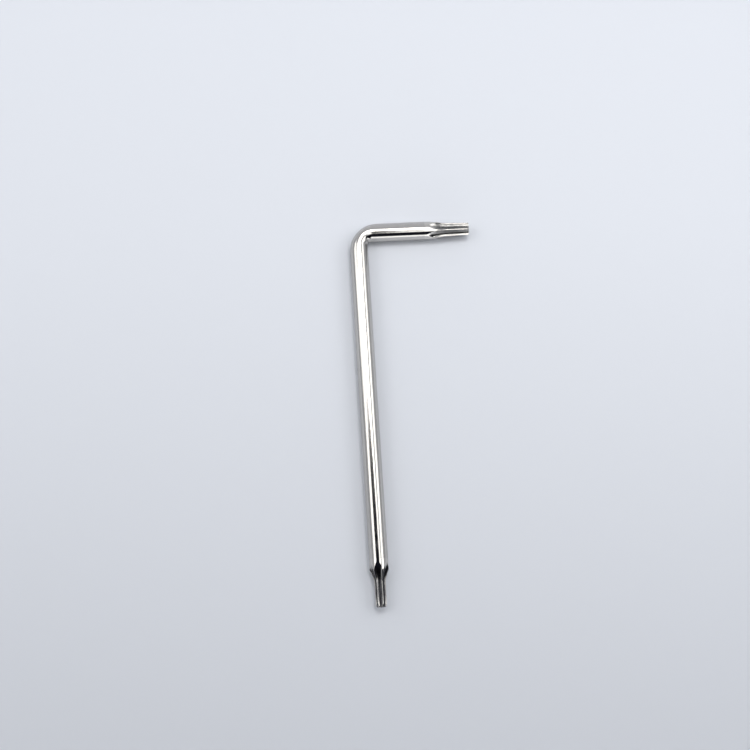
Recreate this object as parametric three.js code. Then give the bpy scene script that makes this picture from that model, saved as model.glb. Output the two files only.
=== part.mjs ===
import * as THREE from 'three';

// A double-ended six-lobe L-key: one round steel rod, bent once, with a star pressed on each end.
// Millimetres, +Z up. The key lies flat, its long arm along -Y from the bend and its short arm along +X.
// The origin is below the middle of its box, on the surface that it lies on.

// Rod. A reach runs from the outside of the other arm to the end of the star.
const ROD_DIAMETER = 3.0;
const LONG_REACH = 63.0;
const SHORT_REACH = 20.0;

// Bend. Bending draws the rod thin on its outer side, from one straight lead through the arc to the other.
const BEND_INNER_RADIUS = 0.8;
const BEND_LEAD = 1.0;
const BEND_THINNING = 0.4;

// Smaller star, drive size 6, on the long arm. The run-out is where its flutes rise to the rod's surface, and
// the chamfer cuts its lobes back at the end. The taper is how much larger the star is where the run-out starts,
// as a share of its size at the end. The turn about the arm's axis is in degrees, from a flute on top.
const LONG_STAR_ACROSS_LOBES = 1.74;
const LONG_STAR_ACROSS_FLUTES = 1.22;
const LONG_STAR_LOBE_RADIUS = 0.08;
const LONG_STAR_STRAIGHT = 2.6;
const LONG_STAR_RUN_OUT = 4.6;
const LONG_STAR_TAPER = 0;
const LONG_STAR_CHAMFER = 0.22;
const LONG_STAR_CHAMFER_LENGTH = 0.4;
const LONG_STAR_TURN = 10;

// Larger star, drive size 8, on the short arm.
const SHORT_STAR_ACROSS_LOBES = 2.32;
const SHORT_STAR_ACROSS_FLUTES = 1.62;
const SHORT_STAR_LOBE_RADIUS = 0.105;
const SHORT_STAR_STRAIGHT = 3.0;
const SHORT_STAR_RUN_OUT = 4.1;
const SHORT_STAR_TAPER = 0.17;
const SHORT_STAR_CHAMFER = 0.1;
const SHORT_STAR_CHAMFER_LENGTH = 0.1;
const SHORT_STAR_TURN = -11;

// Both star tips start with a collar of plain rod.
const STAR_COLLAR = 0.3;

// Facets.
const ROD_SIDES = 48;
const BEND_STEPS = 18;
const LOBE_STEPS = 4;
const FLUTE_STEPS = 8;
const RUN_OUT_STEPS = 12;

const LOBES = 6;
const HALF_PITCH = Math.PI / LOBES;
const QUARTER_TURN = Math.PI / 2;

// The rod's facets lie at its radius, so that it rests on one of them.
const rodRadius = ROD_DIAMETER / 2;
const facetAngle = Math.PI / ROD_SIDES;
const rodCornerRadius = rodRadius / Math.cos(facetAngle);

// The bend's centreline. Its ends lie this far along each arm from the point where the arms' axes cross.
const bendRadius = BEND_INNER_RADIUS + rodRadius;
const bendArc = bendRadius * QUARTER_TURN;
const bendLength = bendArc + 2 * BEND_LEAD;
const bendReach = bendRadius + BEND_LEAD;

const longStar = {
  acrossLobes: LONG_STAR_ACROSS_LOBES,
  acrossFlutes: LONG_STAR_ACROSS_FLUTES,
  lobeRadius: LONG_STAR_LOBE_RADIUS,
  straight: LONG_STAR_STRAIGHT,
  runOut: LONG_STAR_RUN_OUT,
  taper: LONG_STAR_TAPER,
  chamfer: LONG_STAR_CHAMFER,
  chamferLength: LONG_STAR_CHAMFER_LENGTH,
  turn: LONG_STAR_TURN,
};

const shortStar = {
  acrossLobes: SHORT_STAR_ACROSS_LOBES,
  acrossFlutes: SHORT_STAR_ACROSS_FLUTES,
  lobeRadius: SHORT_STAR_LOBE_RADIUS,
  straight: SHORT_STAR_STRAIGHT,
  runOut: SHORT_STAR_RUN_OUT,
  taper: SHORT_STAR_TAPER,
  chamfer: SHORT_STAR_CHAMFER,
  chamferLength: SHORT_STAR_CHAMFER_LENGTH,
  turn: SHORT_STAR_TURN,
};

// Bright nickel plate, with its slightly warm tint.
function nickelPlate() {
  return new THREE.MeshStandardMaterial({ color: 0xd9d4c9, roughness: 0.16, metalness: 1.0 });
}

function section(name, geometry) {
  const mesh = new THREE.Mesh(geometry, nickelPlate());
  mesh.name = name;
  return mesh;
}

// Moves each vertex of a geometry to where the forming leaves it.
function reshape(geometry, move) {
  const vertices = geometry.attributes.position;
  const vertex = new THREE.Vector3();
  for (let i = 0; i < vertices.count; i += 1) {
    vertex.fromBufferAttribute(vertices, i);
    move(vertex);
    vertices.setXYZ(i, vertex.x, vertex.y, vertex.z);
  }
  geometry.computeVertexNormals();
  return geometry;
}

function roundRod(length, steps) {
  const corner = rodCornerRadius;
  return new THREE.CylinderGeometry(corner, corner, length, ROD_SIDES, steps, false, facetAngle);
}

// The bend starts as a straight rod along Y. Its centreline comes up the long arm's lead, turns through the
// arc about (bendRadius, -bendRadius) and leaves along the short arm's lead.
function bendGeometry() {
  return reshape(roundRod(bendLength, BEND_STEPS), (vertex) => {
    const along = vertex.y + bendLength / 2;
    const turn = THREE.MathUtils.clamp(along - BEND_LEAD, 0, bendArc) / bendRadius;
    const pastArc = along - BEND_LEAD - turn * bendRadius;
    const thinning = BEND_THINNING * Math.cos((vertex.y / bendLength) * Math.PI) ** 2;
    const outward = -vertex.x;
    const offset = outward > 0 ? outward * (1 - thinning / rodRadius) : outward;
    const fromCentre = bendRadius + offset;
    vertex.x = bendRadius - fromCentre * Math.cos(turn) + pastArc * Math.sin(turn);
    vertex.y = -bendRadius + fromCentre * Math.sin(turn) + pastArc * Math.cos(turn);
  });
}

// Six round lobes joined by six hollow flutes, each arc tangent to the next, with a lobe on the X axis.
function starOutline({ acrossLobes, acrossFlutes, lobeRadius }) {
  const lobeCentre = acrossLobes / 2 - lobeRadius;
  const root = acrossFlutes / 2;
  const lean = lobeCentre * Math.cos(HALF_PITCH);
  const fluteRadius =
    (lobeCentre ** 2 + root ** 2 - 2 * root * lean - lobeRadius ** 2) / (2 * (lobeRadius + lean - root));
  const fluteCentre = root + fluteRadius;
  const rise = fluteCentre * Math.sin(HALF_PITCH);
  const tangent = Math.atan2(rise, fluteCentre * Math.cos(HALF_PITCH) - lobeCentre);
  const points = [];
  const addArc = (distance, bearing, radius, start, end, clockwise, steps) => {
    const x = distance * Math.cos(bearing);
    const y = distance * Math.sin(bearing);
    const arc = new THREE.EllipseCurve(x, y, radius, radius, start, end, clockwise);
    points.push(...arc.getPoints(steps).slice(0, -1));
  };
  for (let i = 0; i < LOBES; i += 1) {
    const lobe = 2 * HALF_PITCH * i;
    const flute = lobe + HALF_PITCH;
    const sweep = tangent - HALF_PITCH;
    addArc(lobeCentre, lobe, lobeRadius, lobe - tangent, lobe + tangent, false, LOBE_STEPS);
    addArc(fluteCentre, flute, fluteRadius, flute + Math.PI + sweep, flute + Math.PI - sweep, true, FLUTE_STEPS);
  }
  return new THREE.Shape(points);
}

function starLength(star) {
  return STAR_COLLAR + star.runOut + star.straight;
}

// How much larger than at its end the star's outline is, at a distance along the tip. In the run-out it flares
// until its flutes reach the rod's surface.
function starScale(star, along) {
  const flare = ROD_DIAMETER / star.acrossFlutes;
  const pastCollar = Math.max(0, along - STAR_COLLAR);
  const toGo = 1 - pastCollar / (star.runOut + star.straight);
  const left = Math.max(0, 1 - pastCollar / star.runOut);
  return 1 + star.taper * toGo + (flare - 1 - star.taper) * left ** 4 * (5 - 4 * left);
}

// Where the outline stands along the tip, its scale there, and the radius that it is cut back to.
function starStations(star) {
  const end = starLength(star);
  const chamferStart = end - star.chamferLength;
  const places = [0];
  for (let i = 0; i <= RUN_OUT_STEPS; i += 1) {
    places.push(STAR_COLLAR + (star.runOut * i) / RUN_OUT_STEPS);
  }
  places.push(chamferStart);
  const stations = places.map((at) => ({ at, scale: starScale(star, at), limit: rodRadius }));
  stations.push({ at: end, scale: 1, limit: star.acrossLobes / 2 - star.chamfer });
  return stations;
}

// The tip is the flared star, cut back to the rod's surface where it is wider than the rod, and to its chamfer.
function starTipGeometry(star) {
  const stations = starStations(star);
  const steps = stations.length - 1;
  const blank = new THREE.ExtrudeGeometry(starOutline(star), { depth: steps, steps, bevelEnabled: false });
  const tip = reshape(blank, (vertex) => {
    const { at, scale, limit } = stations[Math.round(vertex.z)];
    const size = Math.min(scale, limit / Math.hypot(vertex.x, vertex.y));
    vertex.set(vertex.x * size, vertex.y * size, at);
  });
  return tip.rotateZ(THREE.MathUtils.degToRad(star.turn));
}

// An arm runs along its group's +Y from the crossing of the axes.
function arm(name, reach, star) {
  const starStart = reach - rodRadius - starLength(star);
  const rodLength = starStart - bendReach;
  const rod = section(name, roundRod(rodLength, 1));
  rod.position.y = bendReach + rodLength / 2;
  const tip = section(`${name}_star_tip`, starTipGeometry(star));
  tip.position.y = starStart;
  tip.rotation.x = -QUARTER_TURN;
  return new THREE.Group().add(rod, tip);
}

const longArm = arm('long_arm', LONG_REACH, longStar);
longArm.rotation.z = Math.PI;
const shortArm = arm('short_arm', SHORT_REACH, shortStar);
shortArm.rotation.z = -QUARTER_TURN;

const key = new THREE.Group().add(longArm, section('bend', bendGeometry()), shortArm);
key.position.set(rodRadius - SHORT_REACH / 2, LONG_REACH / 2 - rodRadius, rodRadius);

export default new THREE.Group().add(key);
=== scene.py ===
# %% [markdown]
# # A star key of nickel-plated steel
#
# The object is an L-shaped key for six-lobe screws. It is one steel rod, cut to length, with a star
# pressed on each end, bent once at a right angle, and then plated with bright nickel. This lesson rebuilds
# it around its CAD model: the CAD gives every size and place, and Blender gives the surface.
#
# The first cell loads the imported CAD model. Its nodes are the five sections of the rod, and each of them
# gets a finer piece here. The box of the CAD model is kept, because the finished key has to fit into it.

# %% Load the CAD frame
import math

import bmesh
import bpy
from mathutils import Matrix, Vector


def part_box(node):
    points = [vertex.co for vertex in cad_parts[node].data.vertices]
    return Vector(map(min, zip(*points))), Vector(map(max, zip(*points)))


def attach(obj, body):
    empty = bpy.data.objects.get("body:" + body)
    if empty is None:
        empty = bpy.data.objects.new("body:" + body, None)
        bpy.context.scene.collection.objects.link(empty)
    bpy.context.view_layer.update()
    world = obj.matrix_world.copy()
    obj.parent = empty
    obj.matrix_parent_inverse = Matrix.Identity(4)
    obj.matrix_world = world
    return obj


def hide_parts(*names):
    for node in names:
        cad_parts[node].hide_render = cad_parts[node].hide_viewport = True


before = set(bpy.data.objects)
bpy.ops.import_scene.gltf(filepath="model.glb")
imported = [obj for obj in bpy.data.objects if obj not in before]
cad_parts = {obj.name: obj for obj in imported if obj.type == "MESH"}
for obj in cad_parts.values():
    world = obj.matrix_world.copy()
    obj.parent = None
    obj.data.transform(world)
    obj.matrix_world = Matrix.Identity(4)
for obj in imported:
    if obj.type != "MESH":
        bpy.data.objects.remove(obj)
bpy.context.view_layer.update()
scene = bpy.context.scene
scene.view_settings.view_transform = "Standard"
print("CAD nodes:", sorted(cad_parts))

# %% [markdown]
# ## Sizes
#
# The rod's radius, the lines of the two arms and the ends of the sections are read from the CAD boxes, so
# a new pack with other sizes moves everything along. Only the sizes that a box can't tell are repeated
# here: the inner radius of the bend, how much the bending thins the rod, and the two star profiles.
# Lengths are in millimetres in the text and in metres in Blender, so each of them is multiplied by MM.

# %% Sizes from the CAD boxes
MM = 0.001
UP = Vector((0, 0, 1))

long_low, long_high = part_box("long_arm")
short_low, short_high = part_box("short_arm")
rod_radius = (long_high.z - long_low.z) / 2
corner = Vector(((long_low.x + long_high.x) / 2, (short_low.y + short_high.y) / 2, rod_radius))

BEND_INNER_RADIUS = 0.8 * MM
bend_radius = BEND_INNER_RADIUS + rod_radius
bend_centre = corner + Vector((bend_radius, -bend_radius, 0))
bend_arc = bend_radius * math.pi / 2
bend_lead = bend_centre.y - long_high.y
print(f"rod {2 * rod_radius / MM:.2f} mm, bend arc {bend_arc / MM:.2f} mm, lead {bend_lead / MM:.2f} mm")

# %% [markdown]
# ## Camera
#
# The key lies flat and is seen from nearly straight above, with the camera a little towards the end of the
# long arm. Three small angles say how it stands: tilt towards the viewer, lean to the left, and roll about
# the line of sight. A matrix whose columns are right, up and back places the camera without any tracking
# constraint.

# %% Place the camera
CAMERA_TILT = math.radians(13.03)
CAMERA_LEAN = math.radians(-3.63)
CAMERA_ROLL = math.radians(-3.72)
CAMERA_DISTANCE = 211.2 * MM
CAMERA_TARGET = Vector((-7.18 * MM, 5.70 * MM, rod_radius))
CAMERA_LENS = 62.4

back = Vector((
    math.sin(CAMERA_LEAN),
    -math.sin(CAMERA_TILT) * math.cos(CAMERA_LEAN),
    math.cos(CAMERA_TILT) * math.cos(CAMERA_LEAN),
))
level_right = Vector((0, 1, 0)).cross(back).normalized()
level_up = back.cross(level_right)
right = level_right * math.cos(CAMERA_ROLL) + level_up * math.sin(CAMERA_ROLL)
upward = level_up * math.cos(CAMERA_ROLL) - level_right * math.sin(CAMERA_ROLL)

camera_data = bpy.data.cameras.new("camera")
camera_data.lens = CAMERA_LENS
camera_data.clip_start = 10 * MM
camera = bpy.data.objects.new("camera", camera_data)
camera.matrix_world = (
    Matrix.Translation(CAMERA_TARGET + back * CAMERA_DISTANCE)
    @ Matrix((right, upward, back)).transposed().to_4x4()
)
scene.collection.objects.link(camera)
scene.camera = camera
print("camera at", [round(v / MM, 1) for v in camera.matrix_world.translation], "mm")

# %% [markdown]
# ## Floor
#
# The key lies on a pale, slightly cool sheet. A filled circle of edges is enough for it, much wider than
# the picture, so that its rim never shows in the metal. The floor and the flags go through one helper,
# which makes their mesh and links them into the scene.

# %% Floor
FLOOR_RADIUS = 4.0
FLOOR_COLOUR = (0.70, 0.725, 0.775, 1.0)
FLOOR_ROUGHNESS = 0.7
STAGE_SPECULAR = 0.1


def stage_object(name, bm):
    mesh = bpy.data.meshes.new(name)
    bm.to_mesh(mesh)
    bm.free()
    obj = bpy.data.objects.new(name, mesh)
    scene.collection.objects.link(obj)
    return obj


def plain_material(name, colour, roughness):
    material = bpy.data.materials.new(name)
    material.use_nodes = True
    shader = material.node_tree.nodes["Principled BSDF"]
    shader.inputs["Base Color"].default_value = colour
    shader.inputs["Roughness"].default_value = roughness
    shader.inputs["Specular IOR Level"].default_value = STAGE_SPECULAR
    return material


bm = bmesh.new()
bmesh.ops.create_circle(bm, cap_ends=True, segments=96, radius=FLOOR_RADIUS)
floor = stage_object("floor", bm)
floor.data.materials.append(plain_material("pale_sheet", FLOOR_COLOUR, FLOOR_ROUGHNESS))
print("floor radius", FLOOR_RADIUS, "m")

# %% [markdown]
# ## Soft boxes
#
# Bright metal shows what stands around it, so the light is set up as for any shiny product. Soft boxes
# overhead make the white band along the rod, and the gap between them makes the fine grey line inside that
# band. Two wings carry the band round the bend. A small stronger lamp gives the shadows their direction,
# and a low strip in front edges the short arm. A lamp's strength is given as its radiance, the brightness
# with which it shows in a mirror.

# %% Soft boxes
CEILING = 0.3
WARM_WHITE = (1, 0.99, 0.97)
PLAIN_WHITE = (1, 1, 1)


def soft_box(name, place, aim, size, radiance, colour):
    data = bpy.data.lights.new(name, "AREA")
    data.shape = "RECTANGLE"
    data.size, data.size_y = size
    data.color = colour
    data.energy = radiance * math.pi * size[0] * size[1]
    lamp = bpy.data.objects.new(name, data)
    lamp.location = place
    lamp.rotation_euler = (Vector(aim) - Vector(place)).to_track_quat("-Z", "Y").to_euler()
    lamp.visible_camera = False
    scene.collection.objects.link(lamp)


def overhead_box(name, x, y, size, radiance):
    soft_box(name, (x, y, CEILING), (x, y, 0), size, radiance, WARM_WHITE)


overhead_box("overhead_left", -0.195, 0.008, (0.62, 0.293), 1.7)
overhead_box("overhead_right", 0.335, 0.008, (0.28, 0.293), 2.0)
overhead_box("wing_left", -0.495, 0.228, (0.41, 0.145), 1.7)
overhead_box("wing_right", 0.36, 0.192, (0.24, 0.074), 1.7)
soft_box("key", (0.025, 0.095, 0.29), (0, 0.01, 0), (0.1, 0.1), 6.0, WARM_WHITE)
soft_box("low_strip", (-0.05, -0.375, 0.066), (-0.05, 0, 0.066), (0.6, 0.13), 1.6, PLAIN_WHITE)

# %% [markdown]
# ## Sky
#
# Past the soft boxes the rod mirrors the room. A plain grey world stands for it, a little darker in front
# than behind, mixed by the direction of the ray. It gives the sides of the rod their quiet grey.

# %% Sky
SKY_FRONT = (0.46, 0.475, 0.505, 1)
SKY_BACK = (0.70, 0.72, 0.765, 1)

world = bpy.data.worlds.new("sky")
world.use_nodes = True
nodes, links = world.node_tree.nodes, world.node_tree.links
direction = nodes.new("ShaderNodeTexCoord")
parts = nodes.new("ShaderNodeSeparateXYZ")
sky = nodes.new("ShaderNodeMix")
sky.data_type = "RGBA"
sky.inputs[6].default_value = SKY_FRONT
sky.inputs[7].default_value = SKY_BACK
links.new(direction.outputs["Generated"], parts.inputs[0])
links.new(parts.outputs["Y"], sky.inputs["Factor"])
links.new(sky.outputs[2], nodes["Background"].inputs["Color"])
scene.world = world
print("sky in front", SKY_FRONT[:3], "and behind", SKY_BACK[:3])

# %% [markdown]
# ## Dark flags
#
# A photographer hangs black cards, called flags, where the metal should turn dark. One over the long arm
# draws the dark line along it, and those in front draw the dark band on the short arm and darken the
# flutes. All of them show in reflections only. The two that hang nearest also keep some light off the
# front of the sheet, which shades it softly from back to front.

# %% Dark flags
FLAG_COLOUR = (0.006, 0.007, 0.016, 1.0)
FLAG_ROUGHNESS = 1.0
UPRIGHT = math.pi / 2
flag_material = plain_material("dark_flag", FLAG_COLOUR, FLAG_ROUGHNESS)


def flag(name, centre, size, shades, turn=0.0):
    bm = bmesh.new()
    place = Matrix.Translation(centre) @ Matrix.Rotation(turn, 4, "X") @ Matrix.Diagonal((*size, 1, 1))
    bmesh.ops.create_grid(bm, x_segments=1, y_segments=1, size=0.5, matrix=place)
    obj = stage_object(name, bm)
    obj.data.materials.append(flag_material)
    obj.visible_camera = False
    obj.visible_diffuse = shades
    obj.visible_shadow = shades


flag("flag_over_long_arm", (-0.076, -0.125, 0.25), (0.192, 0.35), True)
flag("flag_near_front", (0, -0.127, 0.15), (1.2, 0.146), True)
flag("flag_far_front", (0, -0.293, 0.15), (1.2, 0.186), False)
flag("flag_front_left", (-0.6, -0.39, 0.1), (0.5, 0.2), False, UPRIGHT)
flag("flag_front_right", (0.53, -0.39, 0.1), (0.5, 0.2), False, UPRIGHT)

# %% [markdown]
# ## The rod before and after bending
#
# The wire is drawn straight, and everything that the drawing leaves on it, such as its fine lines, bends
# with it. So each vertex remembers its place on the straight wire in an attribute called wire: how far out
# from the axis towards the outside of the bend, how far along from the middle of the bend, and how far up.
# The materials read that attribute, and their lines follow the bend without a break.

# %% Place on the straight wire


def wire_place(point):
    """Returns a point's outward direction, and its (outward, along, up) on the straight wire."""
    up = point.z - corner.z
    if point.y < bend_centre.y:
        along = point.y - bend_centre.y - bend_arc / 2
        return Vector((-1, 0, 0)), Vector((corner.x - point.x, along, up))
    if point.x > bend_centre.x:
        along = point.x - bend_centre.x + bend_arc / 2
        return Vector((0, 1, 0)), Vector((point.y - corner.y, along, up))
    arm = Vector((point.x - bend_centre.x, point.y - bend_centre.y, 0))
    along = bend_radius * math.atan2(arm.y, -arm.x) - bend_arc / 2
    return arm.normalized(), Vector((arm.length - bend_radius, along, up))


def remember_wire(bm):
    layer = bm.verts.layers.float_vector.new("wire")
    for vert in bm.verts:
        vert[layer] = wire_place(vert.co)[1]


print("straight wire:", round((bend_arc + 2 * bend_lead) / MM, 2), "mm of it lies in the bend")

# %% [markdown]
# ## Rings, tubes and finished pieces
#
# Every section is a tube that starts as one ring of edges. Extruding the ring and moving the new one along
# adds a band of faces, so a few lines make a rod, a lead or a fluted star. At the end the two open rings
# are filled with flat faces. The edges round those faces are marked sharp, so that the rod stays smooth
# right up to them.

# %% Helpers for tubes
ROD_SIDES = 144


def rod_ring(bm, centre, axis):
    """A ring of the rod's size round a point, square to an axis."""
    turned = axis.to_track_quat("Z", "Y").to_matrix().to_4x4()
    place = Matrix.Translation(centre) @ turned
    made = bmesh.ops.create_circle(bm, segments=ROD_SIDES, radius=rod_radius, matrix=place)
    return list({edge for vert in made["verts"] for edge in vert.link_edges})


def push(bm, ring, step):
    """Extrudes a ring of edges by a step and returns the new ring."""
    made = bmesh.ops.extrude_edge_only(bm, edges=ring)["geom"]
    verts = [item for item in made if isinstance(item, bmesh.types.BMVert)]
    bmesh.ops.translate(bm, verts=verts, vec=step)
    moved = set(verts)
    return [
        item for item in made
        if isinstance(item, bmesh.types.BMEdge) and item.verts[0] in moved and item.verts[1] in moved
    ]


def close_ends(bm):
    """Fills the open rings of a tube and returns the flat faces."""
    open_edges = [edge for edge in bm.edges if edge.is_boundary]
    return bmesh.ops.holes_fill(bm, edges=open_edges, sides=0)["faces"]


def finish_piece(name, bm, node):
    """Closes a tube, smooths its side, and makes it the piece that stands for a CAD node."""
    caps = set(close_ends(bm))
    bmesh.ops.recalc_face_normals(bm, faces=bm.faces)
    for face in bm.faces:
        face.smooth = face not in caps
    for face in caps:
        for edge in face.edges:
            edge.smooth = False
    mesh = bpy.data.meshes.new(name)
    bm.to_mesh(mesh)
    bm.free()
    obj = bpy.data.objects.new(name, mesh)
    scene.collection.objects.link(obj)
    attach(obj, "root")
    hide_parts(node)
    print(name, len(mesh.polygons), "faces")
    return obj


print("tubes have", ROD_SIDES, "sides")

# %% [markdown]
# ## The two arms
#
# Each arm is plain drawn rod between the bend and its star. A ring at one end is pushed along in steps, so
# the faces stay about square.

# %% Arms
ARM_STEP = 0.5 * MM


def plain_arm(name, start, end, node):
    bm = bmesh.new()
    way = end - start
    steps = max(1, round(way.length / ARM_STEP))
    ring = rod_ring(bm, start, way)
    for _ in range(steps):
        ring = push(bm, ring, way / steps)
    remember_wire(bm)
    return finish_piece(name, bm, node)


long_top = Vector((corner.x, long_high.y, corner.z))
long_end = Vector((corner.x, long_low.y, corner.z))
short_top = Vector((short_low.x, corner.y, corner.z))
short_end = Vector((short_high.x, corner.y, corner.z))
long_rod = plain_arm("long_rod", long_top, long_end, "long_arm")
short_rod = plain_arm("short_rod", short_top, short_end, "short_arm")

# %% [markdown]
# ## The bend
#
# The rod is bent cold round a small pin. Its outside stretches and gets thinner, and its inside is
# squeezed into small wrinkles. A ring is pushed along a straight lead, spun a quarter turn about the
# bend's centre, and pushed along the other lead. Then the vertices of the outer half move in, most in the
# middle of the bend, and soft ridges and a crease are set into the inner corner, across the wire.

# %% Bend
BEND_STEPS = 96
LEAD_STEPS = 20
BEND_THINNING = 0.4 * MM

bm = bmesh.new()
ring = rod_ring(bm, long_top, Vector((0, 1, 0)))
for _ in range(LEAD_STEPS):
    ring = push(bm, ring, Vector((0, bend_lead / LEAD_STEPS, 0)))
swept = bmesh.ops.spin(
    bm, geom=ring, cent=bend_centre, axis=UP, angle=-math.pi / 2, steps=BEND_STEPS, use_merge=False
)
ring = [item for item in swept["geom_last"] if isinstance(item, bmesh.types.BMEdge)]
for _ in range(LEAD_STEPS):
    ring = push(bm, ring, Vector((bend_lead / LEAD_STEPS, 0, 0)))
remember_wire(bm)
print("bend:", len(bm.verts), "vertices")

# %% Thin the outside of the bend
bend_length = bend_arc + 2 * bend_lead


def thin_outside(bm):
    for vert in bm.verts:
        outward, place = wire_place(vert.co)
        if place.x > 0:
            thinning = BEND_THINNING * math.cos(math.pi * place.y / bend_length) ** 2
            vert.co -= outward * place.x * thinning / rod_radius


thin_outside(bm)
print("thinned by", BEND_THINNING / MM, "mm in the middle")

# %% Wrinkles on the inside of the bend
WRINKLES = (
    {"along": -0.75, "up": 35, "width": 0.4, "spread": 20, "lift": 0.05},
    {"along": 0.05, "up": 35, "width": 0.3, "spread": 22, "lift": -0.09},
    {"along": 0.85, "up": 30, "width": 0.4, "spread": 20, "lift": 0.05},
)


def wrinkle(bm, along, up, width, spread, lift):
    """Lifts or presses a soft ridge across the inner side. Lengths are in millimetres, angles in degrees."""
    for vert in bm.verts:
        outward, place = wire_place(vert.co)
        slope = math.degrees(math.atan2(place.z, -place.x))
        fade = ((place.y / MM - along) / width) ** 2 + ((slope - up) / spread) ** 2
        normal = UP * math.sin(math.radians(slope)) - outward * math.cos(math.radians(slope))
        vert.co += normal * lift * MM * math.exp(-fade)


for ridge in WRINKLES:
    wrinkle(bm, **ridge)
print("wrinkles:", len(WRINKLES))

# %% Finish the bend
bend_piece = finish_piece("bent_rod", bm, "bend")

# %% [markdown]
# ## The star tips
#
# A star tip is pressed between dies. Six round lobes stand between six hollow flutes, and the flutes rise
# to the rod's surface in a run-out. The outline starts as one vertex. Spun about the centre of a lobe it
# draws the lobe, and spun on about the centre of a flute it draws the flute. That sixth of the star is
# copied round the axis. The outline is pushed along the tip and scaled at each step: large at the rod,
# where its flutes lie on the rod's surface, and at its own size along the straight star. Whatever stands
# out past the rod, or past the chamfer at the end, is then turned down. Two values are kept on the
# vertices for the finish: how deep a vertex lies in its flute, and how dull the pressing left it.

# %% Star outline
LOBES = 6
LOBE_STEPS = 10
FLUTE_STEPS = 30
HALF_PITCH = math.pi / LOBES
WELD = 1e-4 * MM


def star_outline(bm, across_lobes, across_flutes, lobe_radius):
    """Draws a star round the Z axis, with a lobe on the X axis, and returns its ring of edges."""
    lobe_at = across_lobes / 2 - lobe_radius
    root = across_flutes / 2
    lean = lobe_at * math.cos(HALF_PITCH)
    numerator = lobe_at**2 + root**2 - 2 * root * lean - lobe_radius**2
    flute_radius = numerator / (2 * (lobe_radius + lean - root))
    flute_at = root + flute_radius
    flute_centre = Vector((flute_at * math.cos(HALF_PITCH), flute_at * math.sin(HALF_PITCH), 0))
    lobe_centre = Vector((lobe_at, 0, 0))
    tangent = math.atan2(flute_centre.y, flute_centre.x - lobe_at)
    start = lobe_centre + lobe_radius * Vector((math.cos(tangent), -math.sin(tangent), 0))
    first = bm.verts.new(start)
    lobe = bmesh.ops.spin(bm, geom=[first], cent=lobe_centre, axis=UP, angle=2 * tangent, steps=LOBE_STEPS)
    last = [item for item in lobe["geom_last"] if isinstance(item, bmesh.types.BMVert)]
    sweep = 2 * (tangent - HALF_PITCH)
    bmesh.ops.spin(bm, geom=last, cent=flute_centre, axis=UP, angle=-sweep, steps=FLUTE_STEPS)
    sixth = bm.verts[:] + bm.edges[:]
    bmesh.ops.spin(
        bm, geom=sixth, cent=(0, 0, 0), axis=UP, angle=2 * math.pi * (LOBES - 1) / LOBES, steps=LOBES - 1,
        use_duplicate=True,
    )
    bmesh.ops.remove_doubles(bm, verts=bm.verts, dist=WELD)
    return bm.edges[:]


print("star outline:", LOBES * (LOBE_STEPS + FLUTE_STEPS), "points")

# %% Sizes of the two stars
LONG_STAR = {
    "lobes": 1.74 * MM, "flutes": 1.22 * MM, "lobe_radius": 0.08 * MM,
    "run_out": 4.6 * MM, "straight": 2.6 * MM, "chamfer": 0.22 * MM, "chamfer_length": 0.4 * MM,
    "taper": 0.0, "turn": math.radians(10),
}
SHORT_STAR = {
    "lobes": 2.32 * MM, "flutes": 1.62 * MM, "lobe_radius": 0.105 * MM,
    "run_out": 4.1 * MM, "straight": 3.0 * MM, "chamfer": 0.1 * MM, "chamfer_length": 0.1 * MM,
    "taper": 0.17, "turn": math.radians(-11),
}
COLLAR = 0.3 * MM


def star_length(star):
    return COLLAR + star["run_out"] + star["straight"]


def star_scale(star, along):
    """How much larger than its end the star is, at a distance along the tip."""
    flare = 2 * rod_radius / star["flutes"]
    past_collar = max(0.0, along - COLLAR)
    to_go = 1 - past_collar / (star["run_out"] + star["straight"])
    left = max(0.0, 1 - past_collar / star["run_out"])
    return 1 + star["taper"] * to_go + (flare - 1 - star["taper"]) * left**4 * (5 - 4 * left)


print("star tips:", [round(star_length(star) / MM, 2) for star in (LONG_STAR, SHORT_STAR)], "mm long")

# %% Star tips
RUN_OUT_STEPS = 96
STRAIGHT_STEPS = 12
CHAMFER_STEPS = 6
WORN_LENGTH = 2.2 * MM


def scale_ring(bm, ring, factor):
    verts = list({vert for edge in ring for vert in edge.verts})
    bmesh.ops.scale(bm, verts=verts, vec=(factor, factor, 1))


def turn_down(bm, star):
    """Cuts the tip back to the rod's radius, and to a cone at its end."""
    for vert in bm.verts:
        cut = max(0.0, 1 - (star_length(star) - vert.co.z) / star["chamfer_length"])
        limit = min(rod_radius, star["lobes"] / 2 * star_scale(star, vert.co.z) - cut * star["chamfer"])
        radius = math.hypot(vert.co.x, vert.co.y)
        if radius > limit:
            vert.co.x *= limit / radius
            vert.co.y *= limit / radius


# The depth is the mask of the painted shade in the flute floors.
def remember_depth(bm, star):
    """Marks how deep each vertex lies in a flute: 0 on the crests, 1 on a full flute's floor."""
    layer = bm.verts.layers.float.new("flute_depth")
    full = 1 - star["flutes"] / star["lobes"]
    for vert in bm.verts:
        crest = min(rod_radius, star["lobes"] / 2 * star_scale(star, vert.co.z))
        radius = math.hypot(vert.co.x, vert.co.y)
        vert[layer] = min(1.0, max(0.0, (1 - radius / crest) / full))


def remember_dulling(bm, star):
    """Marks how dull each vertex is: bright on the rod, dull past it, rubbed bright at the end."""
    layer = bm.verts.layers.float.new("dulling")
    for vert in bm.verts:
        pressed = min(1.0, max(0.0, vert.co.z - COLLAR) / star["run_out"])
        worn = max(0.0, 1 - (star_length(star) - vert.co.z) / WORN_LENGTH)
        vert[layer] = pressed * (1 - worn)


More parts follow.
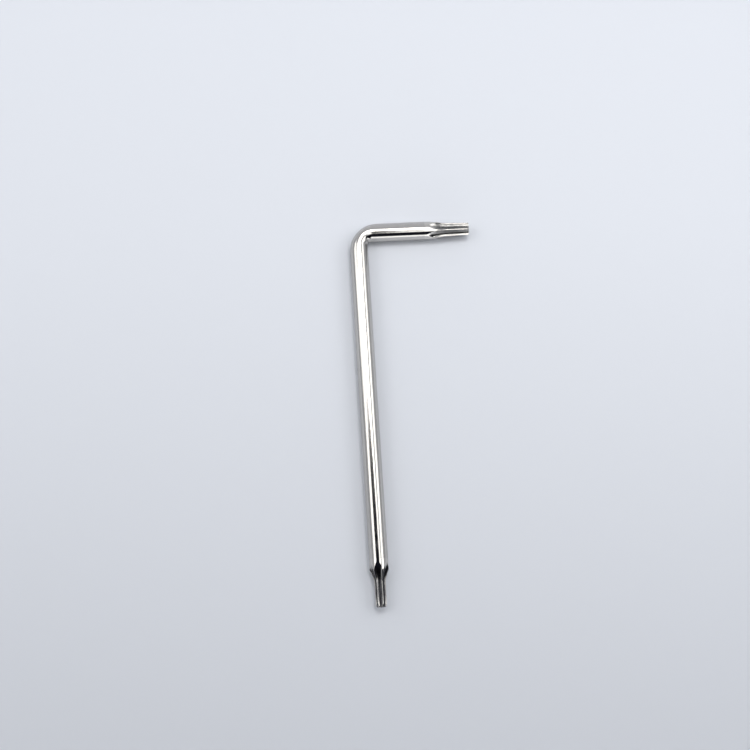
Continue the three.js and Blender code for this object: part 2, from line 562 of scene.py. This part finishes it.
def star_tip(name, node, start, axis, star):
    bm = bmesh.new()
    ring = star_outline(bm, star["lobes"], star["flutes"], star["lobe_radius"])
    ends = [COLLAR, COLLAR + star["run_out"], star_length(star) - star["chamfer_length"], star_length(star)]
    at = 0.0
    scale_ring(bm, ring, star_scale(star, at))
    for end, steps in zip(ends, (1, RUN_OUT_STEPS, STRAIGHT_STEPS, CHAMFER_STEPS)):
        step = (end - at) / steps
        for _ in range(steps):
            ring = push(bm, ring, Vector((0, 0, step)))
            scale_ring(bm, ring, star_scale(star, at + step) / star_scale(star, at))
            at += step
    remember_depth(bm, star)
    remember_dulling(bm, star)
    turn_down(bm, star)
    place = Matrix.Translation(start) @ Matrix((UP.cross(axis), UP, axis)).transposed().to_4x4()
    bmesh.ops.transform(bm, matrix=place @ Matrix.Rotation(star["turn"], 4, "Z"), verts=bm.verts)
    remember_wire(bm)
    return finish_piece(name, bm, node)


long_tip = star_tip("long_star", "long_arm_star_tip", long_end, Vector((0, -1, 0)), LONG_STAR)
short_tip = star_tip("short_star", "short_arm_star_tip", short_end, Vector((1, 0, 0)), SHORT_STAR)

# %% [markdown]
# ## Effects that the finishes share
#
# A real plated rod is never one flat colour. Drawing leaves fine lines along it, the plate is a little
# hazy in patches, and handling scratches it. The floors of the flutes are darkened, partly for the thin
# plate there and partly as painted shade. Each of these is a small node group with named values, so that
# the rod, the bend and the stars can use it with their own settings.

# %% Helpers for nodes


def add_node(tree, kind, inputs=(), **options):
    """Adds a node, sets its options, and sets or links its inputs."""
    node = tree.nodes.new(kind)
    for option, value in options.items():
        setattr(node, option, value)
    for socket, value in dict(inputs).items():
        if isinstance(value, bpy.types.NodeSocket):
            tree.links.new(value, node.inputs[socket])
        else:
            node.inputs[socket].default_value = value
    return node


def new_group(name, inputs, output):
    """Starts a node group with named values going in and one value coming out."""
    group = bpy.data.node_groups.new(name, "ShaderNodeTree")
    for label, value in inputs.items():
        socket = group.interface.new_socket(label, in_out="INPUT", socket_type="NodeSocketFloat")
        socket.default_value = value
    group.interface.new_socket(output, in_out="OUTPUT", socket_type="NodeSocketFloat")
    return group, group.nodes.new("NodeGroupInput").outputs, group.nodes.new("NodeGroupOutput").inputs


def cell_noise(tree, vector, size, detail):
    """Noise whose patches have a given size."""
    cells = add_node(tree, "ShaderNodeVectorMath", {0: vector, 1: size}, operation="DIVIDE")
    inputs = {"Vector": cells.outputs[0], "Scale": 1.0, "Detail": detail}
    return add_node(tree, "ShaderNodeTexNoise", inputs).outputs["Fac"]


def object_place(tree):
    return add_node(tree, "ShaderNodeTexCoord").outputs["Object"]


# %% Drawn lines
drawn_lines, given, result = new_group("drawn_lines", {"Width": 0.3 * MM, "Length": 25 * MM}, "Lines")
wire = add_node(drawn_lines, "ShaderNodeAttribute", attribute_name="wire")
line_sizes = {"X": given["Width"], "Y": given["Length"], "Z": given["Width"]}
line_cell = add_node(drawn_lines, "ShaderNodeCombineXYZ", line_sizes)
lines = cell_noise(drawn_lines, wire.outputs["Vector"], line_cell.outputs[0], 2.0)
drawn_lines.links.new(lines, result["Lines"])
print(drawn_lines.name, "has", len(drawn_lines.nodes), "nodes")

# %% Plate haze
plate_haze, given, result = new_group("plate_haze", {"Size": 2 * MM}, "Haze")
cloud = cell_noise(plate_haze, object_place(plate_haze), given["Size"], 5.0)
haze_range = {"Value": cloud, "From Min": 0.4, "From Max": 0.7}
patches = add_node(plate_haze, "ShaderNodeMapRange", haze_range)
plate_haze.links.new(patches.outputs["Result"], result["Haze"])
print(plate_haze.name, "has", len(plate_haze.nodes), "nodes")

# %% Handling scratches
scratch_values = {"Size": 3 * MM, "Thickness": 0.01}
handling_scratches, given, result = new_group("handling_scratches", scratch_values, "Scratches")
turned = add_node(
    handling_scratches, "ShaderNodeMapping",
    {"Vector": object_place(handling_scratches), "Rotation": (0.3, 0.2, 0.7), "Scale": (1, 6, 3)},
)
cloud = cell_noise(handling_scratches, turned.outputs[0], given["Size"], 0.0)
level = add_node(
    handling_scratches, "ShaderNodeMath", {0: cloud, 1: 0.5, 2: given["Thickness"]}, operation="COMPARE"
)
handling_scratches.links.new(level.outputs[0], result["Scratches"])
print(handling_scratches.name, "has", len(handling_scratches.nodes), "nodes")

# %% Flute shade
# Darkens the floors of the flutes by their depth, with patches left out: partly thin plate there, partly
# painted shade.
flute_shade, given, result = new_group("flute_shade", {"Patchiness": 0.4, "Patch": 0.3 * MM}, "Shade")
depth = add_node(flute_shade, "ShaderNodeAttribute", attribute_name="flute_depth")
cloud = cell_noise(flute_shade, object_place(flute_shade), given["Patch"], 2.0)
missing = add_node(flute_shade, "ShaderNodeMath", {0: cloud, 1: given["Patchiness"]}, operation="MULTIPLY")
shaded = add_node(
    flute_shade, "ShaderNodeMath", {0: depth.outputs["Fac"], 1: missing.outputs[0]}, operation="SUBTRACT",
    use_clamp=True,
)
flute_shade.links.new(shaded.outputs[0], result["Shade"])
print("node groups:", [group.name for group in bpy.data.node_groups])

# %% [markdown]
# ## The nickel finishes
#
# Bright nickel is a warm grey metal. The rod's nickel carries broad and fine drawn lines that follow the
# bend. The lines darken the colour a little, roughen it, and lift the surface by about two thousandths of
# a millimetre, which is enough to break up the edges of the reflections. The stars are pressed, so they
# have no drawn lines: the floors of their flutes are darker, partly from thin plate and partly as painted
# shade, their lobes are duller than the rod, and their ends are rubbed bright by the screws that they have
# turned. The smaller star gets the darker painted shade and the duller finish.

# %% Nickel
NICKEL = (0.63, 0.61, 0.58, 1)
NICKEL_DULL = (0.30, 0.29, 0.285, 1)
EDGE_TINT = (0.85, 0.85, 0.87, 1)


def use_group(tree, group, values):
    """Places a node group in a material with its own values, and returns what comes out of it."""
    node = add_node(tree, "ShaderNodeGroup", node_tree=group)
    for label, value in values.items():
        node.inputs[label].default_value = value
    return node.outputs[0]


def weigh(tree, base, *parts):
    """Returns base plus a sum of values, each times its own weight."""
    total = base
    for value, weight in parts:
        inputs = {0: value, 1: weight, 2: total}
        total = add_node(tree, "ShaderNodeMath", inputs, operation="MULTIPLY_ADD").outputs[0]
    return total


def start_nickel(name):
    """A nickel material with its plain values set, and its node tree."""
    material = bpy.data.materials.new(name)
    material.use_nodes = True
    shader = material.node_tree.nodes["Principled BSDF"]
    shader.inputs["Metallic"].default_value = 1.0
    shader.inputs["Specular Tint"].default_value = EDGE_TINT
    return material, material.node_tree, shader


def finish_nickel(tree, shader, dull_and_shade_colour, dullness, roughness, height, lift):
    """Links how dull, how rough and how high the surface is to the shader; on the stars the dull colour also
    carries painted shade.
    """
    colour = add_node(tree, "ShaderNodeMix", {0: dullness, 6: NICKEL, 7: dull_and_shade_colour}, data_type="RGBA")
    bump = add_node(tree, "ShaderNodeBump", {"Height": height, "Distance": lift, "Strength": 1.0})
    tree.links.new(colour.outputs[2], shader.inputs["Base Color"])
    tree.links.new(roughness, shader.inputs["Roughness"])
    tree.links.new(bump.outputs["Normal"], shader.inputs["Normal"])


# %% Nickel on the drawn rod
LINE_LIFT = 0.0022 * MM


def drawn_nickel(name, scratched):
    material, tree, shader = start_nickel(name)
    broad = use_group(tree, drawn_lines, {"Width": 0.35 * MM, "Length": 30 * MM})
    fine = use_group(tree, drawn_lines, {"Width": 0.09 * MM, "Length": 9 * MM})
    haze = use_group(tree, plate_haze, {"Size": 1.6 * MM})
    scratches = use_group(tree, handling_scratches, {"Size": 3 * MM, "Thickness": 0.006})
    dullness = weigh(tree, -0.3, (broad, 0.55), (fine, 0.5), (haze, 0.08), (scratches, scratched))
    roughness = weigh(tree, 0.03, (broad, 0.06), (fine, 0.1), (haze, 0.06), (scratches, 0.03))
    height = weigh(tree, 0.0, (broad, 1.0), (fine, 0.3))
    finish_nickel(tree, shader, NICKEL_DULL, dullness, roughness, height, LINE_LIFT)
    return material


nickel_on_rod = drawn_nickel("nickel_on_rod", 0.1)
nickel_on_bend = drawn_nickel("nickel_on_bend", 0.2)
print("made", nickel_on_rod.name, "and", nickel_on_bend.name)

# %% Nickel on the pressed stars
# Colours that the flute floors are darkened towards, partly thin plate and partly painted shade; the dull
# pressed surface mixes towards them too.
SMALL_STAR_SHADE_AND_DULL = (0.05, 0.05, 0.055, 1)
LARGE_STAR_SHADE_AND_DULL = (0.11, 0.11, 0.11, 1)
HAZE_LIFT = 0.001 * MM


def pressed_nickel(name, star_shade_and_dull_colour, shaded, dull):
    material, tree, shader = start_nickel(name)
    shade = use_group(tree, flute_shade, {"Patchiness": 0.5, "Patch": 0.25 * MM})
    haze = use_group(tree, plate_haze, {"Size": 0.5 * MM})
    scratches = use_group(tree, handling_scratches, {"Size": 2 * MM, "Thickness": 0.006})
    dulling = add_node(tree, "ShaderNodeAttribute", attribute_name="dulling").outputs["Fac"]
    # The flute shade here is partly painted shade, and the dulling mixes towards the same dark colour.
    dullness = weigh(tree, -0.15, (shade, shaded), (dulling, dull), (haze, 0.15), (scratches, 0.15))
    roughness = weigh(tree, 0.1, (shade, 0.2), (haze, 0.06), (scratches, 0.03))
    finish_nickel(tree, shader, star_shade_and_dull_colour, dullness, roughness, haze, HAZE_LIFT)
    return material


nickel_on_small_star = pressed_nickel("nickel_on_small_star", SMALL_STAR_SHADE_AND_DULL, 1.5, 0.65)
nickel_on_large_star = pressed_nickel("nickel_on_large_star", LARGE_STAR_SHADE_AND_DULL, 1.15, 0.3)

for piece, finish in (
    (long_rod, nickel_on_rod),
    (short_rod, nickel_on_rod),
    (bend_piece, nickel_on_bend),
    (long_tip, nickel_on_small_star),
    (short_tip, nickel_on_large_star),
):
    piece.data.materials.append(finish)
    print(piece.name, "is finished in", finish.name)
